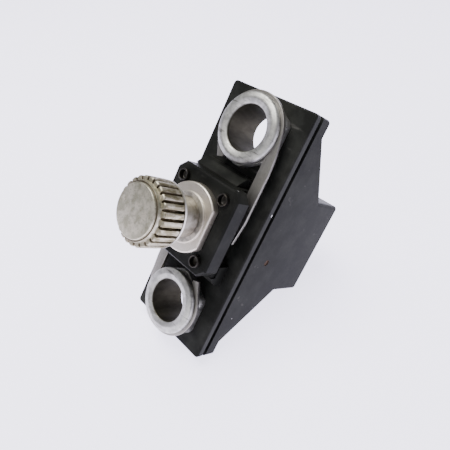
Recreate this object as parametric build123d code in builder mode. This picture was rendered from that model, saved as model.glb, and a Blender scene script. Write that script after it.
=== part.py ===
from build123d import *
from math import cos, pi, radians, sin
import os

os.makedirs("parts", exist_ok=True)

# Cartridge fuse holder for a 6.3 x 32 mm fuse. Millimetres. The origin is the centre of the
# foot's rear face, +Z is the fuse's axis out of the front, and Y runs along the cover plate.

# Driving dimensions: the two mouldings
plate_length = 63.0
plate_width = 25.0
corner_radius = 0.9
foot_half = 13.15
foot_top = 11.7
slope_half = 27.4
flange_rear = 24.9
flange_front = 27.9
plate_rim_rear = 29.15
plate_front = 30.9
lip_inset = 0.7
pocket_half_width = 10.3
pocket_inner = 14.6
rear_wall = 3.0
gate_mark = (-4.4, 21.5)

# Driving dimensions: the boss on the cover plate
boss_half_x = 10.0
boss_half_y = 10.5
boss_chamfer = 2.0
boss_front = 39.6
block_rear = 35.3
block_foot = 33.85
core_half = 6.3
leg_start = 7.6
leg_inset = 1.2
ramp_end = 4.7
ramp_inset = 0.8
ramp_outer = 12.35
ramp_step = 33.1
ramp_foot = 12.85

# Driving dimensions: terminals
bush_offset = 22.7
bush_bore = 5.15
bush_neck = 6.3
rim_radius = 8.1
rim_top = 35.3
hex_flats = 15.7
hex_corner = 8.75
hex_top = 33.0
bush_rear = 24.5
washer_radius = 7.6
washer_rear = 25.1
washer_front = 25.9

# Driving dimensions: straps
strap_thickness = 0.85
eye_radius = 8.8
leg_inner = 7.0
leg_outer = 9.9
leg_end = -1.5
leg_taper = (0.7, 5.5)
gap_end = 12.0
tail_outer = (-5.4, 14.0)
tail_inner = (-3.7, 14.5)
tail_side = 16.4
tab_ring = 5.6
bridge_y = 1.85
bridge_width = 6.2

# Driving dimensions: collar, rivets and nut
collar_radius = 8.0
collar_flat = 6.5
collar_front = 41.5
collar_ring = 5.84
ring_front = 41.9
barrel_radius = 4.7
collar_bore = 4.0
barrel_rear = 24.7
nut_flats = 12.0
nut_rear = 25.0
rivet_x = 6.55
rivet_y = 7.52
rivet_radius = 1.4
rivet_bore = 1.08
rivet_depth = 1.1
rivet_head = 0.6
rivet_front = 40.6

# Driving dimensions: screw cap
knob_radius = 7.25
knob_root = 6.3
knob_face = 5.8
knob_rear = 49.0
knob_front = 55.8
knob_teeth = 25
groove_width = 0.6
groove_floor = 0.35
teeth_front = 54.5
cap_ring_radius = 7.2
neck_radius = 4.6
neck_rear = 42.0
neck_front = 48.4
sleeve_radius = 3.95
sleeve_bore = 3.45
sleeve_rear = 35.0
stem_radius = 3.2
stem_front = 52.0

# Driving dimensions: fuse and rear contact
fuse_radius = 3.175
fuse_rear = 11.0
fuse_length = 31.95
ferrule_length = 6.0
glass_radius = 2.9
chamber_radius = 4.2
cup_radius = 3.9
cup_rear = 10.0
strip_thickness = 0.6
strip_half = 2.1
strip_outer = 9.2
spring_radius = 2.65
spring_wire = 0.28
spring_turns = 6
rear_rivet_radius = 1.2
rear_head_radius = 2.1

clear = 0.05
sink = 0.5
plate_half_x = plate_width / 2
plate_half_y = plate_length / 2
fuse_front = fuse_rear + fuse_length
rivet_places = [(sx * rivet_x, sy * rivet_y) for sx in (-1, 1) for sy in (-1, 1)]


def write(builder, label):
    """Name a finished piece and write its STEP file."""
    builder.part.label = label
    export_step(builder.part, "parts/" + label + ".step")


def boss_outline():
    """The boss's lower outline: a leg at two opposite corners and a channel at the other two."""
    reach = boss_half_x - leg_inset
    return [
        (-reach, boss_half_y), (core_half, boss_half_y), (core_half, -leg_start),
        (reach, -leg_start), (reach, -boss_half_y), (-core_half, -boss_half_y),
        (-core_half, leg_start), (-reach, leg_start),
    ]


def upright(y):
    """The plane through Y = y that faces -Y: its own axes are X and Z."""
    return Plane(origin=(0, y, 0), x_dir=(1, 0, 0), z_dir=(0, -1, 0))


# Housing: the flange, the wedge and the foot in one outline, then the hollows.
with BuildPart() as housing:
    with BuildSketch(Plane.YZ):
        with BuildLine():
            Polyline(
                (-foot_half, 0), (foot_half, 0), (foot_half, foot_top),
                (slope_half, flange_rear), (plate_half_y, flange_rear),
                (plate_half_y, flange_front), (-plate_half_y, flange_front),
                (-plate_half_y, flange_rear), (-slope_half, flange_rear),
                (-foot_half, foot_top), close=True,
            )
        make_face()
    extrude(amount=plate_half_x, both=True)
    flange_corners = housing.edges().filter_by(Axis.Z).filter_by_position(
        Axis.Z, flange_rear, flange_front)
    fillet(flange_corners, corner_radius)
    foot_corners = housing.edges().filter_by(Axis.Z).filter_by_position(Axis.Z, 0, foot_top)
    fillet(foot_corners, corner_radius)
    fillet(housing.faces().sort_by(Axis.Z)[0].edges(), 0.5)
    # An open pocket behind each terminal, between two side webs
    for side in (-1, 1):
        with BuildSketch(Plane.YZ):
            with BuildLine():
                Polyline(
                    (side * pocket_inner, 0), (side * pocket_inner, flange_rear),
                    (side * plate_half_y, flange_rear), (side * plate_half_y, 0), close=True,
                )
            make_face()
        extrude(amount=pocket_half_width, both=True, mode=Mode.SUBTRACT)
    # Holes for the bushes, with a counterbore for each rear washer
    with BuildSketch(Plane.XY.offset(flange_rear)):
        with Locations((0, bush_offset), (0, -bush_offset)):
            Circle(bush_neck + clear)
    extrude(amount=flange_front - flange_rear, mode=Mode.SUBTRACT)
    with BuildSketch(Plane.XY.offset(flange_rear)):
        with Locations((0, bush_offset), (0, -bush_offset)):
            Circle(washer_radius + 0.2)
    extrude(amount=washer_front - flange_rear, mode=Mode.SUBTRACT)
    # Fuse chamber, with a keyway for the rear contact strip
    with BuildSketch(Plane.XY.offset(rear_wall)):
        Circle(chamber_radius)
        with Locations((-(strip_outer + 0.1) / 2, 0)):
            Rectangle(strip_outer + 0.1, 2 * strip_half + 0.4)
    extrude(amount=flange_front - rear_wall, mode=Mode.SUBTRACT)
    with BuildSketch(Plane.XY.offset(barrel_rear - 0.3)):
        Circle(nut_flats / 2 / cos(pi / 6) + 0.5)
    extrude(amount=flange_front - barrel_rear + 0.3, mode=Mode.SUBTRACT)
    with BuildSketch(Plane.XY.offset(flange_front - 1.3)):
        with Locations(*rivet_places):
            Circle(rivet_radius + 0.9)
    extrude(amount=1.3, mode=Mode.SUBTRACT)
    # Rear wall: hole and recess for the contact rivet
    with BuildSketch(Plane.XY):
        Circle(rear_rivet_radius + clear)
    extrude(amount=rear_wall, mode=Mode.SUBTRACT)
    with BuildSketch(Plane.XY):
        Circle(rear_head_radius + 0.5)
    extrude(amount=1.2, mode=Mode.SUBTRACT)
    # Moulding gate mark in the right-hand side
    with BuildSketch(Plane.YZ.offset(plate_half_x - 0.2)):
        with Locations(gate_mark):
            Circle(0.8)
    extrude(amount=0.2, mode=Mode.SUBTRACT)
write(housing, "housing")

# Cover plate: rim, inset lip, and the stepped base of the boss with its two ramps.
with BuildPart() as cover_plate:
    with BuildSketch(Plane.XY.offset(plate_rim_rear)):
        RectangleRounded(plate_width, plate_length, corner_radius)
    extrude(amount=plate_front - plate_rim_rear)
    fillet(cover_plate.faces().sort_by(Axis.Z)[-1].edges(), 0.45)
    with BuildSketch(Plane.XY.offset(flange_front)):
        RectangleRounded(plate_width - 2 * lip_inset, plate_length - 2 * lip_inset, corner_radius)
    extrude(amount=plate_rim_rear - flange_front)
    # The base and its ramps are the same turned half round
    with BuildSketch(Plane.XY.offset(plate_front - sink)):
        with BuildLine():
            Polyline(*boss_outline(), close=True)
        make_face()
    extrude(amount=block_foot - plate_front + sink)
    ramp_length = boss_half_x - ramp_inset + ramp_end
    for side in (-1, 1):
        with BuildSketch(Plane.YZ.offset(-side * (boss_half_x - ramp_inset - ramp_end) / 2)):
            with BuildLine():
                Polyline(
                    (side * leg_start, plate_front - sink), (side * leg_start, block_foot),
                    (side * (boss_half_y + clear), block_foot),
                    (side * (boss_half_y + clear), block_rear), (side * ramp_outer, ramp_step),
                    (side * ramp_foot, plate_front), (side * ramp_foot, plate_front - sink),
                    close=True,
                )
            make_face()
        extrude(amount=ramp_length / 2, both=True)
    # Recess for the upper strap's ring
    with BuildSketch(Plane.XY.offset(hex_top)):
        Circle(tab_ring + 0.15)
        with Locations((core_half / 2 + 1, bridge_y)):
            Rectangle(core_half + 2, bridge_width + 0.4)
    extrude(amount=strap_thickness, mode=Mode.SUBTRACT)
    # Through holes
    with BuildSketch(Plane.XY.offset(flange_front)):
        Circle(barrel_radius + clear)
        with Locations((0, bush_offset), (0, -bush_offset)):
            Circle(bush_neck + clear)
        with Locations(*rivet_places):
            Circle(rivet_radius + clear)
        with Locations((-strip_outer + strip_thickness / 2, 0)):
            Rectangle(strip_thickness + 0.2, 2 * strip_half + 0.2)
    extrude(amount=block_foot - flange_front, mode=Mode.SUBTRACT)
write(cover_plate, "cover_plate")

# Boss block: clamps the straps down on the base and carries the collar.
with BuildPart() as boss_block:
    with BuildSketch(Plane.XY.offset(block_rear)) as block_outline:
        Rectangle(2 * boss_half_x, 2 * boss_half_y)
        chamfer(block_outline.vertices(), boss_chamfer)
    extrude(amount=boss_front - block_rear)
    chamfer(boss_block.faces().sort_by(Axis.Z)[-1].edges(), 0.4)
    chamfer(boss_block.faces().sort_by(Axis.Z)[0].edges(), 0.25)
    with BuildSketch(Plane.XY.offset(block_foot)):
        with BuildLine():
            Polyline(*boss_outline(), close=True)
        make_face()
    extrude(amount=block_rear - block_foot)
    with BuildSketch(Plane.XY.offset(block_foot)):
        Circle(barrel_radius + clear)
        with Locations(*rivet_places):
            Circle(rivet_radius + clear)
    extrude(amount=boss_front - block_foot, mode=Mode.SUBTRACT)
write(boss_block, "boss_block")

# Semi-tubular rivets through the block and the plate: hollow in front, headed behind.
with BuildPart() as boss_rivets:
    for x, y in rivet_places:
        with BuildSketch(Plane(origin=(x, y, 0), x_dir=(1, 0, 0), z_dir=(0, -1, 0))):
            with BuildLine():
                Polyline(
                    (0, flange_front - 0.9), (rivet_radius + rivet_head, flange_front - 0.9),
                    (rivet_radius + rivet_head, flange_front - 0.5), (rivet_radius, flange_front),
                    (rivet_radius, rivet_front - 0.2), (rivet_radius - 0.1, rivet_front),
                    (rivet_bore + 0.08, rivet_front), (rivet_bore, rivet_front - 0.15),
                    (rivet_bore - 0.12, rivet_front - rivet_depth),
                    (0, rivet_front - rivet_depth - 0.25), close=True,
                )
            make_face()
        revolve(axis=Axis((x, y, 0), (0, 0, 1)))
write(boss_rivets, "boss_rivets")

# Terminal bushes: a tube with a hex shoulder, its corners turned off, rolled over the strap in front and flared
# over a washer behind. The upper rim is rolled round, the lower one is set flatter.
for name, side in (("upper_bush", 1), ("lower_bush", -1)):
    with BuildPart() as bush:
        with BuildSketch(upright(side * bush_offset)):
            with BuildLine():
                Polyline(
                    (bush_bore, rim_top - 0.7), (bush_bore, bush_rear), (bush_neck + 0.5, bush_rear),
                    (bush_neck + 0.7, bush_rear + 0.25), (bush_neck + 0.7, washer_rear),
                    (bush_neck, washer_rear), (bush_neck, hex_top + strap_thickness),
                    (rim_radius - 0.3, hex_top + strap_thickness),
                    (rim_radius, hex_top + strap_thickness + 0.3),
                )
                if side > 0:
                    ThreePointArc(
                        (rim_radius, hex_top + strap_thickness + 0.3),
                        (rim_radius - 0.35, rim_top - 0.3), (rim_radius - 1.3, rim_top))
                    ThreePointArc(
                        (rim_radius - 1.3, rim_top), (bush_bore + 0.55, rim_top - 0.15),
                        (bush_bore, rim_top - 0.7))
                else:
                    Polyline(
                        (rim_radius, hex_top + strap_thickness + 0.3), (rim_radius, rim_top - 0.7),
                        (rim_radius - 0.5, rim_top - 0.15), (bush_bore + 0.6, rim_top - 0.15),
                        (bush_bore, rim_top - 0.7))
            make_face()
        revolve(axis=Axis((0, side * bush_offset, 0), (0, 0, 1)))
        with BuildSketch(Plane.XY.offset(plate_front)):
            with Locations((0, side * bush_offset)):
                RegularPolygon(hex_flats / 2 / cos(pi / 6), 6, rotation=30)
                Circle(hex_corner, mode=Mode.INTERSECT)
                Circle(bush_neck - 0.2, mode=Mode.SUBTRACT)
        extrude(amount=hex_top - plate_front)
    write(bush, name)

with BuildPart() as rear_washers:
    with BuildSketch(Plane.XY.offset(washer_rear)):
        with Locations((0, bush_offset), (0, -bush_offset)):
            Circle(washer_radius)
            Circle(bush_neck + clear, mode=Mode.SUBTRACT)
    extrude(amount=washer_front - washer_rear)
write(rear_washers, "rear_washers")

# Straps: flat blanks that lie on the hex shoulders. Each is a hook round the bush's neck with a
# cut-off tail, and a leg that runs under the block. The upper one carries on into a ring round
# the collar's barrel, clamped between the block and the base.
tail_angle = radians(207)
for name, side in (("upper_strap", 1), ("lower_strap", -1)):
    with BuildPart() as strap:
        with BuildSketch(Plane.XY.offset(hex_top)):
            with Locations((0, side * bush_offset)):
                Circle(eye_radius)
            with BuildLine():
                Polyline(
                    (0, side * bush_offset), (side * leg_inner, side * (bush_offset - 3)),
                    (side * leg_inner, side * gap_end), (side * tail_inner[0], side * gap_end),
                    (side * tail_inner[0], side * tail_side), close=True,
                )
            make_face(mode=Mode.SUBTRACT)
            with BuildLine():
                Polyline(
                    (side * leg_inner, side * bush_offset), (side * leg_inner, side * leg_end),
                    (side * (leg_outer - leg_taper[0]), side * leg_end),
                    (side * leg_outer, side * (leg_end + leg_taper[1])),
                    (side * leg_outer, side * (bush_offset - 7)),
                    (side * (leg_outer - 0.4), side * (bush_offset - 3)),
                    (side * (eye_radius - 0.2), side * (bush_offset + 1.8)), close=True,
                )
            make_face()
            with BuildLine():
                Polyline(
                    (side * eye_radius * cos(tail_angle),
                     side * (bush_offset + eye_radius * sin(tail_angle))),
                    (side * tail_outer[0], side * tail_outer[1]),
                    (side * tail_inner[0], side * tail_inner[1]),
                    (side * tail_inner[0], side * tail_side),
                    (-side * bush_neck, side * (bush_offset - 2)), close=True,
                )
            make_face()
            if side > 0:
                Circle(tab_ring)
                with Locations(((leg_inner + 1) / 2, bridge_y)):
                    Rectangle(leg_inner + 1, bridge_width)
                Circle(barrel_radius + clear, mode=Mode.SUBTRACT)
            with Locations((side * rivet_x, side * rivet_y)):
                Circle(rivet_radius + 0.15, mode=Mode.SUBTRACT)
            with Locations((0, side * bush_offset)):
                Circle(bush_neck + clear, mode=Mode.SUBTRACT)
        extrude(amount=strap_thickness)
    write(strap, name)

# Collar: a flange with two flats and a raised ring, and a barrel through the boss.
with BuildPart() as front_collar:
    with BuildSketch(Plane.XY.offset(boss_front)) as flange_outline:
        Circle(collar_radius)
        Rectangle(2 * collar_flat, 3 * collar_radius, mode=Mode.INTERSECT)
    extrude(amount=collar_front - boss_front)
    chamfer(front_collar.faces().sort_by(Axis.Z)[-1].edges(), 0.25)
    with BuildSketch(Plane.XY.offset(collar_front)):
        Circle(collar_ring)
    extrude(amount=ring_front - collar_front)
    fillet(front_collar.faces().sort_by(Axis.Z)[-1].edges(), 0.2)
    with BuildSketch(Plane.XY.offset(barrel_rear)):
        Circle(barrel_radius)
    extrude(amount=boss_front - barrel_rear)
    with BuildSketch(Plane.XY.offset(barrel_rear)):
        Circle(collar_bore + clear)
    extrude(amount=ring_front - barrel_rear, mode=Mode.SUBTRACT)
write(front_collar, "front_collar")

with BuildPart() as collar_nut:
    with BuildSketch(Plane.XY.offset(nut_rear)):
        RegularPolygon(nut_flats / 2 / cos(pi / 6), 6)
        Circle(barrel_radius, mode=Mode.SUBTRACT)
    extrude(amount=flange_front - nut_rear)
write(collar_nut, "collar_nut")

# Rear contact strip: a pad under the lower strap, a leg down the keyway and a foot for the spring.
with BuildPart() as rear_contact_strip:
    with BuildSketch(Plane.XZ):
        with BuildLine():
            Polyline(
                (-strip_outer, rear_wall), (chamber_radius - 0.6, rear_wall),
                (chamber_radius - 0.6, rear_wall + strip_thickness),
                (-strip_outer + strip_thickness, rear_wall + strip_thickness),
                (-strip_outer + strip_thickness, hex_top - strip_thickness),
                (-leg_inner, hex_top - strip_thickness), (-leg_inner, hex_top),
                (-strip_outer, hex_top), close=True,
            )
        make_face()
    extrude(amount=strip_half, both=True)
    with BuildSketch(Plane.XY.offset(rear_wall)):
        Circle(rear_rivet_radius + clear)
    extrude(amount=strip_thickness, mode=Mode.SUBTRACT)
write(rear_contact_strip, "rear_contact_strip")

with BuildPart() as rear_contact_rivet:
    with BuildSketch(Plane.XZ):
        with BuildLine():
            Polyline(
                (0, 0.5), (rear_head_radius - 0.3, 0.5), (rear_head_radius, 0.8),
                (rear_head_radius, 1.2), (rear_rivet_radius, 1.2),
                (rear_rivet_radius, rear_wall + strip_thickness),
                (rear_head_radius, rear_wall + strip_thickness),
                (rear_head_radius - 0.2, rear_wall + strip_thickness + 0.5),
                (0, rear_wall + strip_thickness + 0.7), close=True,
            )
        make_face()
    revolve(axis=Axis.Z)
write(rear_contact_rivet, "rear_contact_rivet")

# Contact spring: a round wire coil from the strip's foot to the cup.
spring_rear = rear_wall + strip_thickness + spring_wire
spring_height = cup_rear - spring_wire - spring_rear - 2 * clear
with BuildPart() as contact_spring:
    with BuildLine():
        coil = Helix(spring_height / spring_turns, spring_height, spring_radius,
                     center=(0, 0, spring_rear + clear))
    with BuildSketch(Plane(origin=coil @ 0, z_dir=coil % 0)):
        Circle(spring_wire)
    sweep(path=coil, is_frenet=True)
write(contact_spring, "contact_spring")

with BuildPart() as contact_cup:
    with BuildSketch(Plane.XY.offset(cup_rear)):
        Circle(cup_radius)
    extrude(amount=fuse_rear - cup_rear + 2.6)
    with BuildSketch(Plane.XY.offset(fuse_rear)):
        Circle(fuse_radius + clear)
    extrude(amount=2.6, mode=Mode.SUBTRACT)
    fillet(contact_cup.faces().sort_by(Axis.Z)[0].edges(), 0.4)
write(contact_cup, "contact_cup")

# Cartridge fuse: a glass tube between two capped ends, with the wire along its axis.
glass_wall = 0.7
ferrule_wall = fuse_radius - glass_radius
for name, end, inward in (
    ("fuse_ferrule_rear", fuse_rear, 1),
    ("fuse_ferrule_front", fuse_front, -1),
):
    with BuildPart() as ferrule:
        with BuildSketch(Plane.XY.offset(end)):
            Circle(fuse_radius)
        extrude(amount=inward * ferrule_length)
        closed_end = ferrule.faces().sort_by(Axis.Z)[0 if inward > 0 else -1]
        fillet(closed_end.edges(), 0.25)
        with BuildSketch(Plane.XY.offset(end + inward * ferrule_wall)):
            Circle(glass_radius)
        extrude(amount=inward * (ferrule_length - ferrule_wall), mode=Mode.SUBTRACT)
    write(ferrule, name)

with BuildPart() as fuse_tube:
    with BuildSketch(Plane.XY.offset(fuse_rear + ferrule_wall)):
        Circle(glass_radius)
        Circle(glass_radius - glass_wall, mode=Mode.SUBTRACT)
    extrude(amount=fuse_length - 2 * ferrule_wall)
write(fuse_tube, "fuse_tube")

with BuildPart() as fuse_wire:
    with BuildSketch(Plane.XY.offset(fuse_rear + ferrule_wall)):
        Circle(0.2)
    extrude(amount=fuse_length - 2 * ferrule_wall)
write(fuse_wire, "fuse_wire")

# Screw cap: knurled knob, bright ring behind it, threaded sleeve and the clip for the fuse.
with BuildPart() as cap_knob:
    groove_depth = knob_radius - knob_root
    with BuildSketch(Plane.XY.offset(knob_rear)):
        Circle(knob_radius)
        with PolarLocations(knob_radius, knob_teeth):
            Polygon(
                (-groove_depth, -groove_floor / 2), (0, -groove_width / 2),
                (groove_depth, -groove_width / 2), (groove_depth, groove_width / 2),
                (0, groove_width / 2), (-groove_depth, groove_floor / 2),
                align=None, mode=Mode.SUBTRACT,
            )
    extrude(amount=teeth_front - knob_rear)
    with BuildSketch(Plane.XZ):
        with BuildLine():
            Polyline(
                (0, knob_rear), (knob_radius - 0.25, knob_rear), (knob_radius, knob_rear + 0.3),
                (knob_radius, teeth_front - 0.3), (knob_radius - 0.3, teeth_front),
                (0, teeth_front), close=True,
            )
        make_face()
    revolve(axis=Axis.Z, mode=Mode.INTERSECT)
    with BuildSketch(Plane.XZ):
        with BuildLine():
            Polyline(
                (0, teeth_front - 0.5), (knob_root - 0.1, teeth_front - 0.5),
                (knob_root - 0.1, teeth_front + 0.1), (knob_face + 0.3, knob_front - 0.45),
                (knob_face + 0.05, knob_front - 0.45), (knob_face - 0.2, knob_front),
                (0, knob_front), close=True,
            )
        make_face()
    revolve(axis=Axis.Z)
    with BuildSketch(Plane.XY.offset(knob_rear)):
        Circle(stem_radius)
    extrude(amount=stem_front - knob_rear, mode=Mode.SUBTRACT)
write(cap_knob, "cap_knob")

with BuildPart() as cap_ring:
    with BuildSketch(Plane.XY.offset(neck_front)):
        Circle(cap_ring_radius)
        Circle(stem_radius, mode=Mode.SUBTRACT)
    extrude(amount=knob_rear - neck_front)
    chamfer(cap_ring.faces().sort_by(Axis.Z)[0].edges().sort_by(SortBy.LENGTH)[-1], 0.15)
write(cap_ring, "cap_ring")

with BuildPart() as cap_sleeve:
    with BuildSketch(Plane.XZ):
        with BuildLine():
            Polyline(
                (sleeve_bore, sleeve_rear), (sleeve_radius, sleeve_rear),
                (sleeve_radius, neck_rear), (neck_radius, neck_rear), (neck_radius, neck_front),
                (stem_radius, neck_front), (stem_radius, stem_front), (0, stem_front),
                (0, fuse_front + clear), (sleeve_bore, fuse_front + clear), close=True,
            )
        make_face()
    revolve(axis=Axis.Z)
write(cap_sleeve, "cap_sleeve")

with BuildPart() as cap_clip:
    clip_rear = fuse_front - 5.0
    with BuildSketch(Plane.XY.offset(clip_rear)):
        Circle(sleeve_bore - 0.02)
        Circle(fuse_radius + clear, mode=Mode.SUBTRACT)
        with PolarLocations(sleeve_bore, 4):
            Rectangle(1.2, 0.9, mode=Mode.SUBTRACT)
    extrude(amount=3.6)
    with BuildSketch(Plane.XY.offset(clip_rear + 3.6)):
        Circle(sleeve_bore - 0.02)
        Circle(fuse_radius + clear, mode=Mode.SUBTRACT)
    extrude(amount=1.3)
write(cap_clip, "cap_clip")
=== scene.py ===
# %% [markdown]
# # A cartridge fuse holder
# A black moulded body with a cover plate, two tubular terminals on flat straps, and a screw cap
# that holds the fuse. The CAD model gives every place and size. This file adds the looks: finer
# meshes for the turned, rolled and bent metal, and a finish for every piece. Each cell makes one
# piece or one finish, and says first what the real one is.

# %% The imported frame
from math import pi, radians

import bmesh
import bpy
import numpy as np
from mathutils import Matrix, Vector


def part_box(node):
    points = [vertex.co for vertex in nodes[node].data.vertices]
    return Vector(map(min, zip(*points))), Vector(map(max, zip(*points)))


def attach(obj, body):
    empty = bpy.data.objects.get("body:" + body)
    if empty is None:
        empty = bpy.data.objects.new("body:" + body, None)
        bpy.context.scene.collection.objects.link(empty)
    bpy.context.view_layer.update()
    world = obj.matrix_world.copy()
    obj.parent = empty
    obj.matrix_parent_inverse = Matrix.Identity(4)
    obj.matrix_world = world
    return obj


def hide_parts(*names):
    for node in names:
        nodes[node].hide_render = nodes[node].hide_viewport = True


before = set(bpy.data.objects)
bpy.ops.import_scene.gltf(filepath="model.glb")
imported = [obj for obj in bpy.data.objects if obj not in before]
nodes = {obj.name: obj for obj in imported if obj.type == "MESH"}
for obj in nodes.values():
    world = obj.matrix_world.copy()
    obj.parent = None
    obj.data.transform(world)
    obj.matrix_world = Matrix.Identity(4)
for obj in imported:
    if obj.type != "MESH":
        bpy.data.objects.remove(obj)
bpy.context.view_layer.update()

MM = 0.001

# %% [markdown]
# ## Shader maths as Python
# A finish is a small graph of nodes. Long graphs are hard to read as calls, so a class wraps a
# socket and lends it the operators: `0.3 + 0.1 * cloud` adds the Math nodes that say so. Plain
# numbers stay in Python. Colours never pass a Math node, which would turn them grey: they go
# through `mix`.

# %% Shader maths
class Value:
    """A number, colour or vector that changes over a surface."""

    def __init__(self, recipe, socket):
        self.recipe = recipe
        self.socket = socket

    def maths(self, operation, first, second=0.0):
        return self.recipe.node("ShaderNodeMath", {"operation": operation}, {0: first, 1: second})

    def __add__(self, other):
        return self.maths("ADD", self, other)

    def __radd__(self, other):
        return self.maths("ADD", other, self)

    def __sub__(self, other):
        return self.maths("SUBTRACT", self, other)

    def __rsub__(self, other):
        return self.maths("SUBTRACT", other, self)

    def __mul__(self, other):
        return self.maths("MULTIPLY", self, other)

    def __rmul__(self, other):
        return self.maths("MULTIPLY", other, self)


class Recipe:
    """A material under construction, on Blender's own Principled shader."""

    def __init__(self, name, metallic=0.0, specular=0.5, coat=0.0):
        self.material = bpy.data.materials.new(name)
        self.material.use_nodes = True
        self.tree = self.material.node_tree
        self.shader = self.tree.nodes["Principled BSDF"]
        self.shader.inputs["Metallic"].default_value = metallic
        self.shader.inputs["Specular IOR Level"].default_value = specular
        self.shader.inputs["Coat Weight"].default_value = coat

    def node(self, kind, settings=None, inputs=None, output=0):
        """Add a node: its settings come first, then the values or links of its sockets."""
        made = self.tree.nodes.new(kind)
        for key, value in (settings or {}).items():
            setattr(made, key, value)
        for key, value in (inputs or {}).items():
            self.feed(made.inputs[key], value)
        return Value(self, made.outputs[output])

    def feed(self, socket, value):
        if isinstance(value, Value):
            self.tree.links.new(value.socket, socket)
        else:
            socket.default_value = value

    def place(self, shift=(0, 0, 0), stretch=(1, 1, 1), of="Object"):
        """Where on the piece a pattern is read: its own coordinates, shifted and stretched."""
        coordinate = self.node("ShaderNodeTexCoord", output=of)
        return self.node("ShaderNodeMapping", inputs={0: coordinate, 1: shift, 3: stretch})

    def cloud(self, size_mm, detail=2.0, shift=0.0, stretch=(1, 1, 1), of="Object"):
        """Soft random patches about size_mm across, from 0 to 1."""
        where = self.place((shift, shift * 0.7, -shift), stretch, of)
        scale = 1 / size_mm if of == "UV" else 1000 / size_mm
        return self.node("ShaderNodeTexNoise", inputs={
            "Vector": where, "Scale": scale, "Detail": detail, "Roughness": 0.6})

    def ramp(self, value, low, high, start=0.0, end=1.0):
        """start below low, end above high, and a straight line between."""
        return self.node("ShaderNodeMapRange", inputs={0: value, 1: low, 2: high, 3: start, 4: end})

    def from_axis(self, x_mm=0.0, y_mm=0.0):
        """Distance in metres from the upright line through (x, y)."""
        flat = self.place((-x_mm * MM, -y_mm * MM, 0), (1, 1, 0))
        return self.node("ShaderNodeVectorMath", {"operation": "LENGTH"}, {0: flat}, 1)

    def near(self, point_mm, reach_mm):
        """1 at a point of the shared frame, 0 from reach_mm away."""
        gap = self.node("ShaderNodeVectorMath", {"operation": "DISTANCE"}, {
            0: self.place(), 1: [c * MM for c in point_mm]}, 1)
        return self.ramp(gap, reach_mm * MM * 0.7, reach_mm * MM, 1.0, 0.0)

    def height(self):
        return self.node("ShaderNodeSeparateXYZ", inputs={0: self.place()}, output=2)

    def mix(self, amount, first, second):
        """The first colour where amount is 0 and the second where it is 1."""
        paint = [c if isinstance(c, Value) else (*c, 1.0) for c in (first, second)]
        return self.node(
            "ShaderNodeMix", {"data_type": "RGBA"}, {0: amount, 6: paint[0], 7: paint[1]}, 2)

    def finish(self, colour, roughness, height=None, depth_mm=0.01, metallic=None):
        """Feed the shader. height is 0 to 1, and depth_mm is how tall a height of 1 stands."""
        paint = colour if isinstance(colour, Value) else (*colour, 1.0)
        self.feed(self.shader.inputs["Base Color"], paint)
        self.feed(self.shader.inputs["Roughness"], roughness)
        if metallic is not None:
            self.feed(self.shader.inputs["Metallic"], metallic)
        if height is not None:
            bump = self.node("ShaderNodeBump", inputs={
                "Strength": 1.0, "Distance": depth_mm * MM, "Height": height})
            self.feed(self.shader.inputs["Normal"], bump)
        return self.material


print("shader maths ready")

# %% [markdown]
# ## The black moulding
# The body is a phenolic moulding: nearly black, half glossy, and never quite even. Handling has
# left grey dust in patches and short scuffs, and the gloss changes softly. Clouds of four kinds
# do this: broad for the dust, fine for the skin of the moulding, sparse crests for specks, and one
# stretched long and cut to its thin crests for scuffs.

# %% Black phenolic
GATE_MARK = (12.4, -4.4, 21.5)


def black_phenolic(name, bloom, gloss, shift, specks, gate=None):
    """Half-glossy black moulding.

    bloom is how much grey dust it carries, specks are small pale spots as (point, reach), and gate is
    where a rough brown mark was left by the mould."""
    recipe = Recipe(name, specular=gloss)
    broad = recipe.cloud(6.0, 5.0, shift)
    fine = recipe.cloud(0.55, 2.0, shift + 3.0)
    speck = recipe.ramp(recipe.cloud(0.9, 4.0, shift + 7.0), 0.68, 0.75)
    scuff_cloud = recipe.cloud(2.6, 3.0, shift + 11.0, (0.16, 1.0, 0.7))
    scuff = recipe.ramp(scuff_cloud, 0.65, 0.70) * recipe.ramp(broad, 0.45, 0.6)
    dust = recipe.ramp(broad, 0.42, 0.75, 0.3, 1.0) * bloom
    black = recipe.mix(dust, (0.004, 0.0042, 0.004), (0.032, 0.033, 0.029))
    scuffed = recipe.mix(scuff * 0.5, black, (0.085, 0.082, 0.075))
    colour = recipe.mix(speck * 0.35 * bloom, scuffed, (0.10, 0.095, 0.09))
    if gate is not None:
        mark = recipe.near(gate, 0.95)
        rough_gate = mark * recipe.ramp(recipe.cloud(0.35, 2.0, 1.0), 0.35, 0.6, 0.4, 1.0)
        colour = recipe.mix(rough_gate, colour, (0.085, 0.048, 0.03))
    for spot, reach in specks:
        colour = recipe.mix(recipe.near(spot, reach), colour, (0.62, 0.60, 0.60))
    roughness = 0.26 + 0.14 * broad + 0.09 * fine + 0.16 * scuff
    height = 0.55 * recipe.cloud(1.7, 2.0, shift + 5.0) + 0.3 * fine + 0.15 * scuff
    return recipe.finish(colour, roughness, height, 0.012)


for name, bloom, gloss, shift, specks, gate in (
    ("housing", 0.7, 0.03, 0.0, [((12.5, -4.1, 21.9), 0.22), ((12.4, -20.5, 24.3), 0.18)], GATE_MARK),
    ("cover_plate", 0.9, 0.05, 20.0, [((12.45, 7.85, 29.15), 0.4)], None),
    ("boss_block", 0.6, 0.05, 40.0, [((7.75, 10.5, 38.2), 0.25)], None),
):
    nodes[name].data.materials.clear()
    moulding = black_phenolic(name + "_phenolic", bloom, gloss, shift, specks, gate)
    nodes[name].data.materials.append(moulding)
    print("moulding finish on", name)
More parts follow.
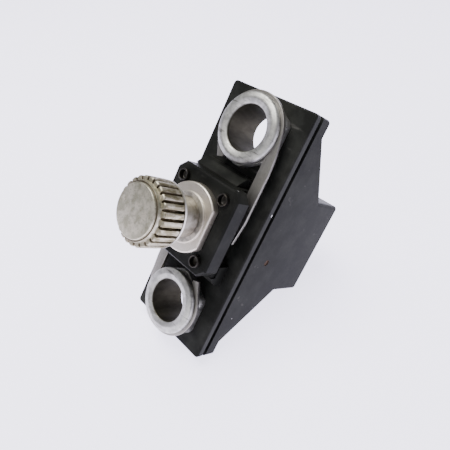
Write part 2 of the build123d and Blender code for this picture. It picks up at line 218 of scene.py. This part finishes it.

# %% [markdown]
# ## The metals
# Three metals show. The bushes and straps are tinned: dull and frosty, with drawn lines along the
# straps, and with painted shade in the bores, coloured dark brown. The knob and the collar are
# nickel over brass: a warm grey, browner in the knurl's grooves and within the collar's ring, where
# fingers and rags don't reach. What only one of them has is added in that piece's own cell.
# The rivets have gone nearly black.
# Inside are plain brass and spring steel.

# %% Metal finishes
BORE = 5.15
LATHE_RINGS = 9000.0


def tinned(name, base, shift=0.0, brush=0.0, bore_at=None):
    """Dull tin plate: frosty mottling and dark pits, lines along a strip if brushed, and painted shade in
    the bore, coloured dark brown.
    """
    recipe = Recipe(name, metallic=1.0)
    broad = recipe.cloud(3.2, 3.0, shift)
    frost = recipe.cloud(0.42, 3.0, shift + 4.0)
    pit = recipe.ramp(recipe.cloud(0.8, 3.0, shift + 9.0), 0.64, 0.72)
    dull = [c * 0.62 for c in base]
    colour = recipe.mix(recipe.ramp(broad, 0.42, 0.72) * 0.7, base, dull)
    colour = recipe.mix(recipe.ramp(frost, 0.5, 0.7) * 0.4, colour, [c * 1.25 for c in base])
    colour = recipe.mix(pit * 0.6, colour, (0.13, 0.12, 0.105))
    roughness = 0.34 + 0.16 * broad + 0.12 * frost + 0.1 * pit
    height = 0.5 * frost + 0.4 * recipe.cloud(1.3, 2.0, shift + 2.0) - 0.4 * pit
    if brush:
        line = recipe.cloud(1.0, 3.0, shift + 6.0, (0.12, 9.0, 1.0), of="UV")
        colour = recipe.mix(recipe.ramp(line, 0.35, 0.7) * 0.45, colour, [c * 1.5 for c in base])
        height = height * 0.4 + line * brush
        roughness = 0.30 + 0.12 * broad + 0.12 * line
    if bore_at is not None:
        from_axis = recipe.from_axis(0, bore_at)
        worn = recipe.ramp(recipe.cloud(1.6, 5.0, shift + 13.0), 0.44, 0.60)
        colour = recipe.mix(worn * 0.55, colour, [c * 0.45 for c in base])
        mark = recipe.ramp(recipe.cloud(0.8, 3.0, shift + 17.0, (0.15, 1.0, 0.3)), 0.60, 0.66)
        colour = recipe.mix(mark * 0.6, colour, (0.10, 0.095, 0.085))
        height = height - mark * 0.5
        # Painted shade: the bore's wall is coloured dark brown over the tin, in streaks along its depth.
        bore_shade = recipe.ramp(from_axis, (BORE + 0.05) * MM, (BORE + 0.35) * MM, 1.0, 0.0)
        down = recipe.cloud(2.2, 3.0, shift + 23.0, (1.0, 1.0, 0.3))
        brown = recipe.mix(recipe.ramp(down, 0.3, 0.7), (0.072, 0.067, 0.047), (0.034, 0.030, 0.020))
        colour = recipe.mix(bore_shade, colour, brown)
        roughness = roughness + 0.1 * bore_shade
    return recipe.finish(colour, roughness, height, 0.014)


def nickel(name, shift=0.0, tarnish=0.4, base=(0.50, 0.475, 0.42), wear=None, spun=0.0):
    """Worn nickel, warm grey and half bright.

    tarnish is how brown its patches are. wear, if given, is a function that takes and returns the
    recipe's colour, roughness and height, and adds what only that piece has. spun is the depth
    of the lathe's fine rings."""
    recipe = Recipe(name, metallic=1.0)
    broad = recipe.cloud(2.8, 3.0, shift)
    fine = recipe.cloud(0.35, 3.0, shift + 5.0)
    pit = recipe.ramp(recipe.cloud(0.55, 4.0, shift + 8.0), 0.62, 0.70)
    brown = [base[0] * 0.62, base[1] * 0.56, base[2] * 0.46]
    colour = recipe.mix(recipe.ramp(broad, 0.4, 0.75) * tarnish, base, brown)
    colour = recipe.mix(pit * 0.5, colour, (0.15, 0.125, 0.085))
    roughness = 0.30 + 0.14 * broad + 0.12 * fine + 0.12 * pit
    height = 0.5 * fine + 0.5 * recipe.cloud(1.1, 2.0, shift + 3.0) - 0.5 * pit
    if wear is not None:
        colour, roughness, height = wear(recipe, colour, roughness, height)
    if spun:
        lathe = recipe.node("ShaderNodeTexNoise", {"noise_dimensions": "1D"}, {
            "W": recipe.from_axis() * LATHE_RINGS, "Scale": 1.0, "Detail": 2.0})
        height = height + lathe * spun
    return recipe.finish(colour, roughness, height, 0.012)


def plain_metal(name, base, dark, roughness=0.32, shift=0.0):
    """A metal that is seen little: one colour with darker patches and fine grain."""
    recipe = Recipe(name, metallic=1.0)
    broad = recipe.cloud(2.0, 3.0, shift)
    fine = recipe.cloud(0.3, 2.0, shift + 2.0)
    colour = recipe.mix(recipe.ramp(broad, 0.4, 0.7), base, dark)
    return recipe.finish(colour, roughness + 0.15 * broad, fine, 0.006)


def clear_glass(name):
    """The fuse's tube: clear, with the faintest waviness."""
    recipe = Recipe(name)
    recipe.shader.inputs["Transmission Weight"].default_value = 1.0
    recipe.shader.inputs["IOR"].default_value = 1.5
    wave = recipe.cloud(4.0, 1.0)
    return recipe.finish((0.96, 0.98, 0.975), 0.03 + 0.03 * wave, wave, 0.01)


finishes = {
    "rear_washers": plain_metal("washer_zinc", (0.55, 0.55, 0.54), (0.36, 0.35, 0.33)),
    "collar_nut": plain_metal("nut_nickel", (0.62, 0.60, 0.55), (0.42, 0.38, 0.30)),
    "rear_contact_strip": plain_metal("strip_brass", (0.72, 0.53, 0.25), (0.42, 0.28, 0.12)),
    "rear_contact_rivet": plain_metal("rear_rivet_brass", (0.68, 0.50, 0.24), (0.36, 0.24, 0.11)),
    "contact_cup": plain_metal("cup_brass", (0.72, 0.53, 0.25), (0.45, 0.30, 0.13)),
    "cap_clip": plain_metal("clip_bronze", (0.70, 0.48, 0.26), (0.42, 0.27, 0.13)),
    "contact_spring": plain_metal("spring_wire", (0.52, 0.52, 0.51), (0.35, 0.34, 0.33)),
    "fuse_ferrule_rear": nickel("ferrule_rear_nickel", 60.0, 0.2),
    "fuse_ferrule_front": nickel("ferrule_front_nickel", 70.0, 0.2),
    "fuse_wire": plain_metal("fuse_wire_bright", (0.7, 0.7, 0.69), (0.5, 0.5, 0.49)),
    "fuse_tube": clear_glass("fuse_glass_clear"),
    # The cap's sleeve is a darker, duller copy of the nickel: painted shade, standing for the knob's
    # shadow on the neck.
    "cap_sleeve": plain_metal("sleeve_nickel_painted_shade", (0.40, 0.375, 0.32), (0.19, 0.17, 0.135), 0.42, 80.0),
    "cap_ring": nickel("ring_nickel", 90.0, 0.15, (0.66, 0.64, 0.59)),
}
for name, material in finishes.items():
    nodes[name].data.materials.clear()
    nodes[name].data.materials.append(material)
print("metal finishes on", len(finishes), "CAD nodes")

# %% [markdown]
# ## Surfaces from arrays
# A turned part is a profile carried round an axis. The profile is a list of corners, each with
# the radius that rounds it, because no real edge is sharp: light catches on the rounding. The
# whole surface is one array of points, profile by angle, and the mesh takes it in one call.

# %% Surface helpers
def rounded(corners, steps=6):
    """Corners (x, y, radius) of a closed outline become points, each corner an arc.

    At a corner the arc starts and ends radius / tan(half the corner's angle) away from it, and
    its centre lies on the bisector, radius / sin(half) away."""
    points = []
    spots = np.array([c[:2] for c in corners], float)
    for i, (_, _, radius) in enumerate(corners):
        here = spots[i]
        back = spots[i - 1] - here
        ahead = spots[(i + 1) % len(spots)] - here
        back /= np.linalg.norm(back)
        ahead /= np.linalg.norm(ahead)
        half = np.arccos(np.clip(back @ ahead, -1, 1)) / 2
        if radius <= 0 or half > pi / 2 - 0.01:
            points.append(here)
            continue
        middle = back + ahead
        centre = here + middle / np.linalg.norm(middle) * radius / np.sin(half)
        start = here + back * radius / np.tan(half) - centre
        end = here + ahead * radius / np.tan(half) - centre
        sweep = pi - 2 * half
        share = np.linspace(0, 1, steps + 1)[:, None]
        arc = (np.sin((1 - share) * sweep) * start + np.sin(share * sweep) * end) / np.sin(sweep)
        points.extend(centre + arc)
    return np.array(points)


def grid_mesh(name, points, wrap_rows=True, material=None, uv=None, edge_angle=40.0):
    """A closed surface from a (rows, columns, 3) array in metres. Columns wrap round; so do rows,
    unless the first and last shrink to a point."""
    rows, columns = points.shape[:2]
    row = np.arange(rows if wrap_rows else rows - 1)[:, None]
    column = np.arange(columns)[None, :]
    below = row * columns
    above = (row + 1) % rows * columns
    right = (column + 1) % columns
    quads = np.stack([below + column, below + right, above + right, above + column], -1).reshape(-1, 4)
    mesh = bpy.data.meshes.new(name)
    mesh.from_pydata(points.reshape(-1, 3).tolist(), [], quads.tolist())
    if uv is not None:
        layer = mesh.uv_layers.new(name="along")
        corner = np.empty(len(mesh.loops), np.int32)
        mesh.loops.foreach_get("vertex_index", corner)
        layer.data.foreach_set("uv", uv.reshape(-1, 2)[corner].ravel())
    tidy(mesh, edge_angle)
    piece = bpy.data.objects.new(name, mesh)
    bpy.context.collection.objects.link(piece)
    if material:
        mesh.materials.append(material)
    return piece


def tidy(mesh, edge_angle=40.0):
    """Merge the poles, turn the faces outwards, and shade smooth except at real edges."""
    work = bmesh.new()
    work.from_mesh(mesh)
    bmesh.ops.remove_doubles(work, verts=work.verts, dist=1e-7)
    bmesh.ops.recalc_face_normals(work, faces=work.faces)
    work.to_mesh(mesh)
    work.free()
    mesh.shade_smooth()
    mesh.set_sharp_from_angle(angle=radians(edge_angle))


def turned(name, profile, centre=(0, 0), columns=192, shape=None, wrap=True, material=None,
           angles=None):
    """A profile (radius, height) in mm carried round a vertical axis through centre.

    shape, if given, is a function of (radius, height, angle) that returns the radius there."""
    angle = np.linspace(0, 2 * pi, columns, endpoint=False) if angles is None else angles
    radius = np.repeat(profile[:, :1], len(angle), 1)
    height = np.repeat(profile[:, 1:], len(angle), 1)
    if shape is not None:
        radius = shape(radius, height, angle[None, :])
    points = np.stack([centre[0] + radius * np.cos(angle), centre[1] + radius * np.sin(angle), height], -1)
    return grid_mesh(name, points * MM, wrap, material)


def join(name, pieces):
    """Several closed shells as one piece."""
    work = bmesh.new()
    for piece in pieces:
        work.from_mesh(piece.data)
    mesh = bpy.data.meshes.new(name)
    work.to_mesh(mesh)
    work.free()
    for material in pieces[0].data.materials:
        mesh.materials.append(material)
    whole = bpy.data.objects.new(name, mesh)
    bpy.context.collection.objects.link(whole)
    for piece in pieces:
        old = piece.data
        bpy.data.objects.remove(piece)
        bpy.data.meshes.remove(old)
    mesh.set_sharp_from_angle(angle=radians(40.0))
    return whole


def put(piece, node, body):
    """The piece stands for a CAD node, whose part it hides, and rides on its body."""
    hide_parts(node)
    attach(piece, body)
    print(piece.name, "stands for", node, "with", len(piece.data.polygons), "faces")


def span(node):
    """A CAD node's lowest and highest corners in mm."""
    low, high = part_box(node)
    return np.array(low) / MM, np.array(high) / MM


# %% [markdown]
# ## The knurled knob
# The knob is turned from bar with a coarse straight knurl: flat-topped teeth between narrow
# grooves, ending in a crisp step at the front. Then come a plain band, a step and the face disc.
# The surface is the knob's profile carried round the axis, with the radius pulled in at the
# grooves. The columns crowd round each groove's flanks, where the shape changes. Grime is brown
# in the grooves and olive on the teeth, and the face is mottled where fingers have worn it.

# %% Knurled knob
knob_low, knob_high = span("cap_knob")
KNOB_RADIUS = (knob_high[1] - knob_low[1]) / 2
KNOB_TEETH = 25
GROOVE_DEPTH = 0.8
TEETH_REAR = knob_low[2]
TEETH_FRONT = TEETH_REAR + 5.5
BAND = 6.22
FACE_EDGE = 5.62
FACE = knob_high[2]
STEM = 3.2
STEM_FRONT = 52.0


def knurl(radius, height, angle):
    """Radius less a groove.

    Measured in pitches from the groove's middle, the floor reaches 0.11 and the flank runs
    straight up to 0.185. Past it the tooth's top is flat, and sinks a little towards both flanks."""
    turn = angle * KNOB_TEETH / (2 * pi)
    off = np.abs((turn + 0.5) % 1.0 - 0.5)
    groove = 1 - np.clip((off - 0.11) / 0.075, 0, 1)
    crown = 0.12 * ((0.5 - off) / 0.315) ** 2
    side = (radius > BAND + 0.1) & (height > TEETH_REAR) & (height < TEETH_FRONT + 0.01)
    rolled = np.clip((radius - BAND) / (KNOB_RADIUS - BAND), 0, 1)
    return np.where(side, radius - (GROOVE_DEPTH * groove + crown) * rolled, radius)


tooth = np.array([-0.5, -0.4, -0.3, -0.23, -0.20, -0.185, -0.16, -0.135, -0.11, -0.05,
                  0.0, 0.05, 0.11, 0.135, 0.16, 0.185, 0.20, 0.23, 0.3, 0.4])
knob_angles = ((np.arange(KNOB_TEETH)[:, None] + tooth[None, :]) / KNOB_TEETH * 2 * pi).ravel()
knob_profile = rounded([
    (0.001, STEM_FRONT, 0), (STEM, STEM_FRONT, 0), (STEM, TEETH_REAR, 0.05),
    (KNOB_RADIUS - 0.25, TEETH_REAR, 0.1), (KNOB_RADIUS, TEETH_REAR + 0.3, 0.12),
    (KNOB_RADIUS, TEETH_FRONT - 0.22, 0.1), (KNOB_RADIUS - 0.22, TEETH_FRONT, 0.08),
    (BAND, TEETH_FRONT, 0.06), (BAND, TEETH_FRONT + 0.12, 0.06), (6.08, FACE - 0.5, 0.08),
    (FACE_EDGE + 0.16, FACE - 0.52, 0.06), (FACE_EDGE, FACE, 0.14), (0.001, FACE - 0.05, 0),
], 5)


def knurl_grime(recipe, colour, roughness, height):
    """Three zones, by height and by distance from the axis: the knurl's side, its grooves, and the
    step by the face. The rest is the worn face and band."""
    out = recipe.from_axis()
    up = recipe.height()
    side = recipe.ramp(up, (TEETH_FRONT - 0.15) * MM, (TEETH_FRONT + 0.1) * MM, 1.0, 0.0)
    deep = side * recipe.ramp(out, (KNOB_RADIUS - 0.5) * MM, (KNOB_RADIUS - 0.2) * MM, 1.0, 0.0)
    step = recipe.ramp(out, (FACE_EDGE + 0.04) * MM, (FACE_EDGE + 0.12) * MM) \
        * recipe.ramp(up, (FACE - 0.5) * MM, (FACE - 0.2) * MM, 1.0, 0.0) \
        * recipe.ramp(out, (BAND - 0.22) * MM, (BAND - 0.06) * MM, 1.0, 0.0)
    streak = recipe.ramp(recipe.cloud(0.8, 4.0, 25.0, (1.0, 1.0, 0.3)), 0.44, 0.56)
    worn_face = recipe.ramp(recipe.cloud(2.0, 6.0, 31.0), 0.42, 0.60) * (1 - side)
    grain = recipe.ramp(recipe.cloud(0.4, 3.0, 37.0), 0.52, 0.66)
    patchy = recipe.ramp(recipe.cloud(1.3, 3.0, 41.0), 0.35, 0.55, 0.6, 1.0)
    colour = recipe.mix(side * (0.2 + 0.65 * streak), colour, (0.17, 0.145, 0.075))
    colour = recipe.mix(worn_face * 0.75, colour, (0.30, 0.29, 0.205))
    colour = recipe.mix(grain * 0.5, colour, (0.24, 0.215, 0.145))
    brown = recipe.mix(streak, (0.17, 0.125, 0.062), (0.09, 0.07, 0.035))
    colour = recipe.mix(deep * patchy, colour, brown)
    colour = recipe.mix(step * 0.85, colour, (0.075, 0.055, 0.03))
    return colour, roughness + 0.2 * deep + 0.08 * side, height - worn_face * 0.3


knob_metal = nickel("knob_nickel", 10.0, 0.3, (0.61, 0.575, 0.465), knurl_grime, 0.12)
knob = turned("knurled_knob", knob_profile, shape=knurl, wrap=False, angles=knob_angles,
              material=knob_metal)
put(knob, "cap_knob", "cap")

# %% [markdown]
# ## The collar
# A turned flange with two flats milled on it for a spanner, and a raised ring that the cap's neck
# comes down on. The flats only cut the flange, so they are a limit on the radius: no further from
# the axis than the flat's distance divided by the cosine of the angle.

# %% Collar with two flats
collar_low, collar_high = span("front_collar")
FLAT = collar_high[0]
FLANGE = collar_high[1]
RING = 5.84
RING_FRONT = collar_high[2]
COLLAR_FRONT = RING_FRONT - 0.4
COLLAR_BORE = 4.05
BARREL = 4.7
BLOCK_FRONT = span("boss_block")[1][2]
BARREL_REAR = collar_low[2]


def two_flats(radius, height, angle):
    """Outside the ring, no further out than the flat's distance over the angle's cosine."""
    limit = FLAT / np.maximum(np.abs(np.cos(angle)), 1e-3) * (radius / FLANGE)
    return np.where(radius > RING + 0.06, np.minimum(radius, limit), radius)


corner = np.arccos(FLAT / FLANGE)
quarter = np.concatenate([np.linspace(0, corner, 20, endpoint=False),
                          np.linspace(corner, pi / 2, 40, endpoint=False)])
half_turn = np.concatenate([quarter, pi - np.append(quarter, pi / 2)[::-1][:-1]])
collar_angles = np.concatenate([half_turn, half_turn + pi])
collar_profile = rounded([
    (COLLAR_BORE, BARREL_REAR, 0.1), (BARREL, BARREL_REAR, 0.15), (BARREL, BLOCK_FRONT, 0.05),
    (FLANGE, BLOCK_FRONT, 0.12), (FLANGE, COLLAR_FRONT, 0.42), (RING, COLLAR_FRONT, 0.08),
    (RING, RING_FRONT, 0.2), (COLLAR_BORE, RING_FRONT, 0.2),
], 6)


def ring_stain(recipe, colour, roughness, height):
    """Grey-brown patches on the ring's front, which stop short of its rounded edges."""
    out = recipe.from_axis()
    front = recipe.ramp(out, (COLLAR_BORE + 0.25) * MM, (COLLAR_BORE + 0.65) * MM) \
        * recipe.ramp(out, (RING - 0.41) * MM, (RING - 0.16) * MM, 1.0, 0.0)
    patch = recipe.ramp(recipe.cloud(1.6, 5.0, 42.0), 0.44, 0.56, 0.3, 1.0)
    colour = recipe.mix(front * patch, colour, (0.31, 0.295, 0.26))
    return colour, roughness + 0.1 * front, height


collar_metal = nickel("collar_nickel", 30.0, 0.4, (0.64, 0.595, 0.52), ring_stain, 0.35)
collar = turned("plated_collar", collar_profile, shape=two_flats, angles=collar_angles,
                material=collar_metal)
put(collar, "front_collar", "root")

# %% [markdown]
# ## Terminal bushes
# Each terminal is a tube turned from hex bar. The hex is a shoulder on the plate, the strap lies
# on it round the neck, and the end of the tube is rolled over the strap. The upper rim came out
# round and the lower one flatter. The hex rows of the profile take the radius of a hexagon: its
# flat's distance over the cosine of the angle from the nearest flat.

# %% Bushes
HEX_FLAT = 7.85
HEX_CORNER = 8.75
PLATE_FRONT = 30.9
HEX_TOP = 33.0
STRAP = 0.85
NECK = 6.3
FLARE_FRONT = 25.1
bush_low, bush_high = span("upper_bush")
BUSH_REAR = bush_low[2]
BUSH_Y = (bush_low[1] + bush_high[1]) / 2
RIM = (bush_high[0] - bush_low[0]) / 2
RIM_TOP = 35.3


def hexagon(radius, height, angle):
    """The shoulder's rows, below the strap, follow a hexagon with turned and chamfered corners."""
    off_flat = (angle + pi / 6) % (pi / 3) - pi / 6
    six = HEX_FLAT / np.cos(off_flat)
    chamfered = np.minimum(six, np.minimum(HEX_CORNER, HEX_FLAT + 0.55 + (HEX_TOP - height) * 0.9))
    is_hex = (radius > HEX_FLAT - 0.8) & (height < HEX_TOP + 0.01) & (height > PLATE_FRONT - 0.01)
    return np.where(is_hex, chamfered * radius / HEX_FLAT, radius)


def bush_profile(rim_corners):
    """From the flared rear end, up the outside past the hex and the strap, then over the rim."""
    return rounded([
        (BORE, BUSH_REAR, 0.12), (NECK + 0.6, BUSH_REAR, 0.2), (NECK + 0.7, FLARE_FRONT, 0.1),
        (NECK, FLARE_FRONT, 0), (NECK, PLATE_FRONT, 0), (HEX_FLAT, PLATE_FRONT, 0.1),
        (HEX_FLAT, HEX_TOP, 0.18), (NECK, HEX_TOP, 0),
        (NECK, HEX_TOP + STRAP, 0), *rim_corners,
    ], 8)


round_rim = [(RIM, HEX_TOP + STRAP, 0.3), (RIM, RIM_TOP - 0.25, 0.8),
             (BORE + 1.55, RIM_TOP + 0.2, 1.3), (BORE, RIM_TOP - 0.3, 0.75)]
flat_rim = [(RIM, HEX_TOP + STRAP, 0.25), (RIM, RIM_TOP - 0.35, 0.5),
            (BORE + 1.4, RIM_TOP - 0.05, 1.2), (BORE, RIM_TOP - 0.3, 0.42)]
for name, side, rim, shift in (("upper_bush", 1, round_rim, 0.0), ("lower_bush", -1, flat_rim, 50.0)):
    bush = turned(name + "_rolled", bush_profile(rim), (0, side * BUSH_Y), 240, hexagon,
                  material=tinned(name + "_tin", (0.52, 0.515, 0.49), shift, 0.0, side * BUSH_Y))
    put(bush, name, "root")

# %% [markdown]
# ## Rivets
# Four semi-tubular rivets hold the boss together. The hollow end is in front, so a thin rim
# stands round a dark hole. They have tarnished nearly black.

# %% Rivets
rivet_low, rivet_high = span("boss_rivets")
RIVET_X = 6.55
RIVET_Y = 7.52
RIVET = 1.4
RIVET_BORE = 1.08
RIVET_REAR = rivet_low[2]
RIVET_TOP = rivet_high[2]
HEAD_TOP = 27.4
rivet_profile = rounded([
    (0.001, RIVET_REAR, 0), (RIVET + 0.6, RIVET_REAR, 0.1), (RIVET + 0.55, HEAD_TOP, 0.1),
    (RIVET, HEAD_TOP + 0.5, 0.2), (RIVET, RIVET_TOP, 0.12), (RIVET_BORE + 0.02, RIVET_TOP, 0.1),
    (RIVET_BORE - 0.12, RIVET_TOP - 1.1, 0.2), (0.001, RIVET_TOP - 1.3, 0),
], 5)
rivet_metal = nickel("rivet_dark", 15.0, 0.9, (0.05, 0.047, 0.043))
rivets = join("rolled_rivets", [
    turned("rivet", rivet_profile, (x, y), 48, wrap=False, material=rivet_metal)
    for x in (-RIVET_X, RIVET_X) for y in (-RIVET_Y, RIVET_Y)
])
put(rivets, "boss_rivets", "root")

# %% [markdown]
# ## The straps
# Each strap is a flat blank: an open hook round the bush's neck with a cut-off tail, and a leg
# that runs on under the block. A strip carried along a path says it best: the path has an inner
# and an outer edge, and the section between them is a thin rectangle with rounded edges. The
# strip's own coordinates run along it, so the drawn lines in the metal follow the bend.

# %% Straps
EYE = 8.8
LEG_IN = 7.0
LEG_OUT = 9.9
LEG_END = -1.5
LEG_TAPER = (0.7, 5.5)
TAIL_INNER = (-3.7, 14.5)
TAIL_OUTER = (-5.4, 14.0)
TAIL_BEND_INNER = [(-3.75, 16.6), (-5.2, 18.9)]
TAIL_BEND_OUTER = [(-6.5, 16.2), (-7.5, 18.0)]
LEG_SHOULDER = 0.3
STRIP_WIDTH = 2.9
STRIP_EDGE = 0.16
TAB_RING = (4.75, 5.6)


def smooth(values, share=0.02):
    """Ease the corners of a sampled path: a running mean over a share of its length."""
    width = max(3, int(len(values) * share) // 2 * 2 + 1)
    padded = np.concatenate([2 * values[:1] - values[1:width // 2 + 1][::-1], values,
                             2 * values[-1:] - values[-width // 2:-1][::-1]])
    kernel = np.ones(width) / width
    return np.stack([np.convolve(padded[:, k], kernel, "valid") for k in range(values.shape[1])], -1)


def strap_path(count=420):
    """Inner and outer edge of the strip, and the way along it, from the tail to the leg's end.

    Round the hook the inner edge keeps to the neck and the outer one to the eye's circle. At both
    ends the edges run straight on, to the tail's tip and down the leg."""
    turn = np.radians(np.linspace(207, 0, 200))
    bend = np.array([np.cos(turn), np.sin(turn)]).T
    neck = (0, BUSH_Y) + (NECK + 0.06) * bend
    rim = (0, BUSH_Y) + EYE * bend
    leg = (BUSH_Y - 3.0, BUSH_Y - 7.0, LEG_END + LEG_TAPER[1], LEG_END)
    inner = np.array([TAIL_INNER, *TAIL_BEND_INNER, *neck[6:-16], *[(LEG_IN, y) for y in leg]])
    outer = np.array([TAIL_OUTER, *TAIL_BEND_OUTER, *rim[6:-16], *[(LEG_OUT, y) for y in leg]])
    outer[-4, 0] -= LEG_SHOULDER
    outer[-1, 0] -= LEG_TAPER[0]
    middle = (inner + outer) / 2
    length = np.concatenate([[0], np.cumsum(np.linalg.norm(np.diff(middle, axis=0), axis=1))])
    share = np.linspace(0, length[-1], count)
    inner, outer = [
        smooth(np.stack([np.interp(share, length, side[:, k]) for k in range(2)], -1))
        for side in (inner, outer)
    ]
    return inner, outer, share


def strap_mesh(name, side, material):
    """The path's edges carry a rounded section: across runs from the inner edge, 0, to the outer, 1."""
    inner, outer, share = strap_path()
    section = rounded([(0, 0, STRIP_EDGE), (STRIP_WIDTH, 0, STRIP_EDGE),
                       (STRIP_WIDTH, STRAP, STRIP_EDGE), (0, STRAP, STRIP_EDGE)], 5)
    across = section[:, 0] / STRIP_WIDTH
    points = np.empty((len(share), len(section), 3))
    points[..., :2] = inner[:, None] + (outer - inner)[:, None] * across[None, :, None]
    points[..., 2] = HEX_TOP + section[:, 1]
    uv = np.stack(np.broadcast_arrays(share[:, None], section[None, :, 0]), -1)
    ends = [np.repeat(points[k:k + 1].mean(1, keepdims=True), len(section), 1)
            for k in (0, len(share) - 1)]
    points = np.concatenate([ends[0], points, ends[1]])
    uv = np.concatenate([uv[:1], uv, uv[-1:]])
    points[..., :2] *= side
    return grid_mesh(name, points * MM, False, material, uv, 50.0)


for name, side, shift in (("upper_strap", 1, 5.0), ("lower_strap", -1, 25.0)):
    metal = tinned(name + "_drawn", (0.27, 0.258, 0.238), shift, 0.8)
    strip = strap_mesh(name + "_strip", side, metal)
    if side > 0:
        tab = rounded([(TAB_RING[0], HEX_TOP, 0.05), (TAB_RING[1], HEX_TOP, 0.1),
                       (TAB_RING[1], HEX_TOP + STRAP, 0.1), (TAB_RING[0], HEX_TOP + STRAP, 0.05)], 4)
        ring = turned("tab_ring", tab, columns=96, material=metal)
        ring.data.uv_layers.new(name="along")
        strip = join(name + "_strip_and_ring", [strip, ring])
    put(strip, name, "root")

# %% [markdown]
# ## Where it lies, the light and the camera
# The holder lies on the edge of its flange and the edge of its foot, so the floor is the plane
# through those two edges. It can be seen from above only: from below it is clear, and doesn't
# hide the holder. It glows a little, as a lit white sweep does. The light is a big soft box
# overhead, a weak one low on the left, and a pale room.

# %% Floor
FLANGE_END = span("housing")[0][1]
FLANGE_REAR = 24.9
FOOT_HALF = 13.15
FLOOR_HALF = 1.2
FLOOR_GAP = 0.0002
FLOOR_GLOW = 2.9
flange_edge = Vector((0, FLANGE_END, FLANGE_REAR)) * MM
foot_edge = Vector((0, -FOOT_HALF, 0)) * MM
floor_up = (flange_edge - foot_edge).cross(Vector((1, 0, 0))).normalized()
if floor_up.z < 0:
    floor_up = -floor_up
along = (foot_edge - flange_edge).normalized()


def pale_floor():
    """Matt, a little blue, glowing, and clear from behind."""
    recipe = Recipe("pale_floor", specular=0.2)
    cloud = recipe.cloud(60.0, 2.0)
    recipe.finish(recipe.mix(cloud, (0.78, 0.77, 0.86), (0.82, 0.81, 0.90)), 0.75)
    recipe.shader.inputs["Emission Color"].default_value = (0.83, 0.80, 1.0, 1.0)
    recipe.shader.inputs["Emission Strength"].default_value = FLOOR_GLOW
    behind = recipe.node("ShaderNodeNewGeometry", output="Backfacing")
    recipe.feed(recipe.shader.inputs["Alpha"], 1 - behind)
    return recipe.material


middle = foot_edge - floor_up * FLOOR_GAP
corners = [middle + along * a * FLOOR_HALF + Vector((1, 0, 0)) * b * FLOOR_HALF
           for a, b in ((-1, -1), (1, -1), (1, 1), (-1, 1))]
floor_mesh = bpy.data.meshes.new("floor")
floor_mesh.from_pydata([tuple(c) for c in corners], [], [(0, 1, 2, 3)])
floor = bpy.data.objects.new("floor", floor_mesh)
bpy.context.collection.objects.link(floor)
floor_mesh.materials.append(pale_floor())
floor_mesh.update()
if floor_mesh.polygons[0].normal.dot(floor_up) < 0:
    floor_mesh.flip_normals()
print("floor leans", round(float(np.degrees(np.arccos(floor_up.z))), 1), "degrees")

# %% Camera
eye = bpy.data.cameras.new("eye")
eye.lens = 34.606
eye.sensor_width = 36.0
eye.clip_start = 0.005
camera = bpy.data.objects.new("eye", eye)
camera.location = Vector((60.491, 26.101, 110.765)) * MM
camera.rotation_euler = [radians(a) for a in (4.6728, 37.9534, 31.7389)]
bpy.context.collection.objects.link(camera)
bpy.context.scene.camera = camera

# %% Light
bpy.context.view_layer.update()
axes = camera.matrix_world.to_3x3()
target = Vector((0, 0, 30.0)) * MM


def soft_box(name, right, up, back, size, power, colour=(1, 1, 1)):
    """A square area light, placed by steps to the right, up and back towards the viewer, in mm."""
    lamp = bpy.data.lights.new(name, "AREA")
    lamp.shape = "SQUARE"
    lamp.size = size * MM
    lamp.energy = power
    lamp.color = colour
    box = bpy.data.objects.new(name, lamp)
    spot = target + axes @ Vector((right, up, back)) * MM
    aim = (target - spot).to_track_quat("-Z", "Y").to_matrix().to_4x4()
    box.matrix_world = Matrix.Translation(spot) @ aim
    bpy.context.collection.objects.link(box)


soft_box("overhead", -130, 430, 300, 320, 4.2, (1.0, 0.99, 0.97))
soft_box("low_window", -330, -170, 280, 200, 0.42, (1.0, 0.99, 0.98))
world = bpy.data.worlds.new("room")
world.use_nodes = True
world.node_tree.nodes["Background"].inputs[0].default_value = (0.80, 0.81, 0.85, 1)
world.node_tree.nodes["Background"].inputs[1].default_value = 0.42
bpy.context.scene.world = world
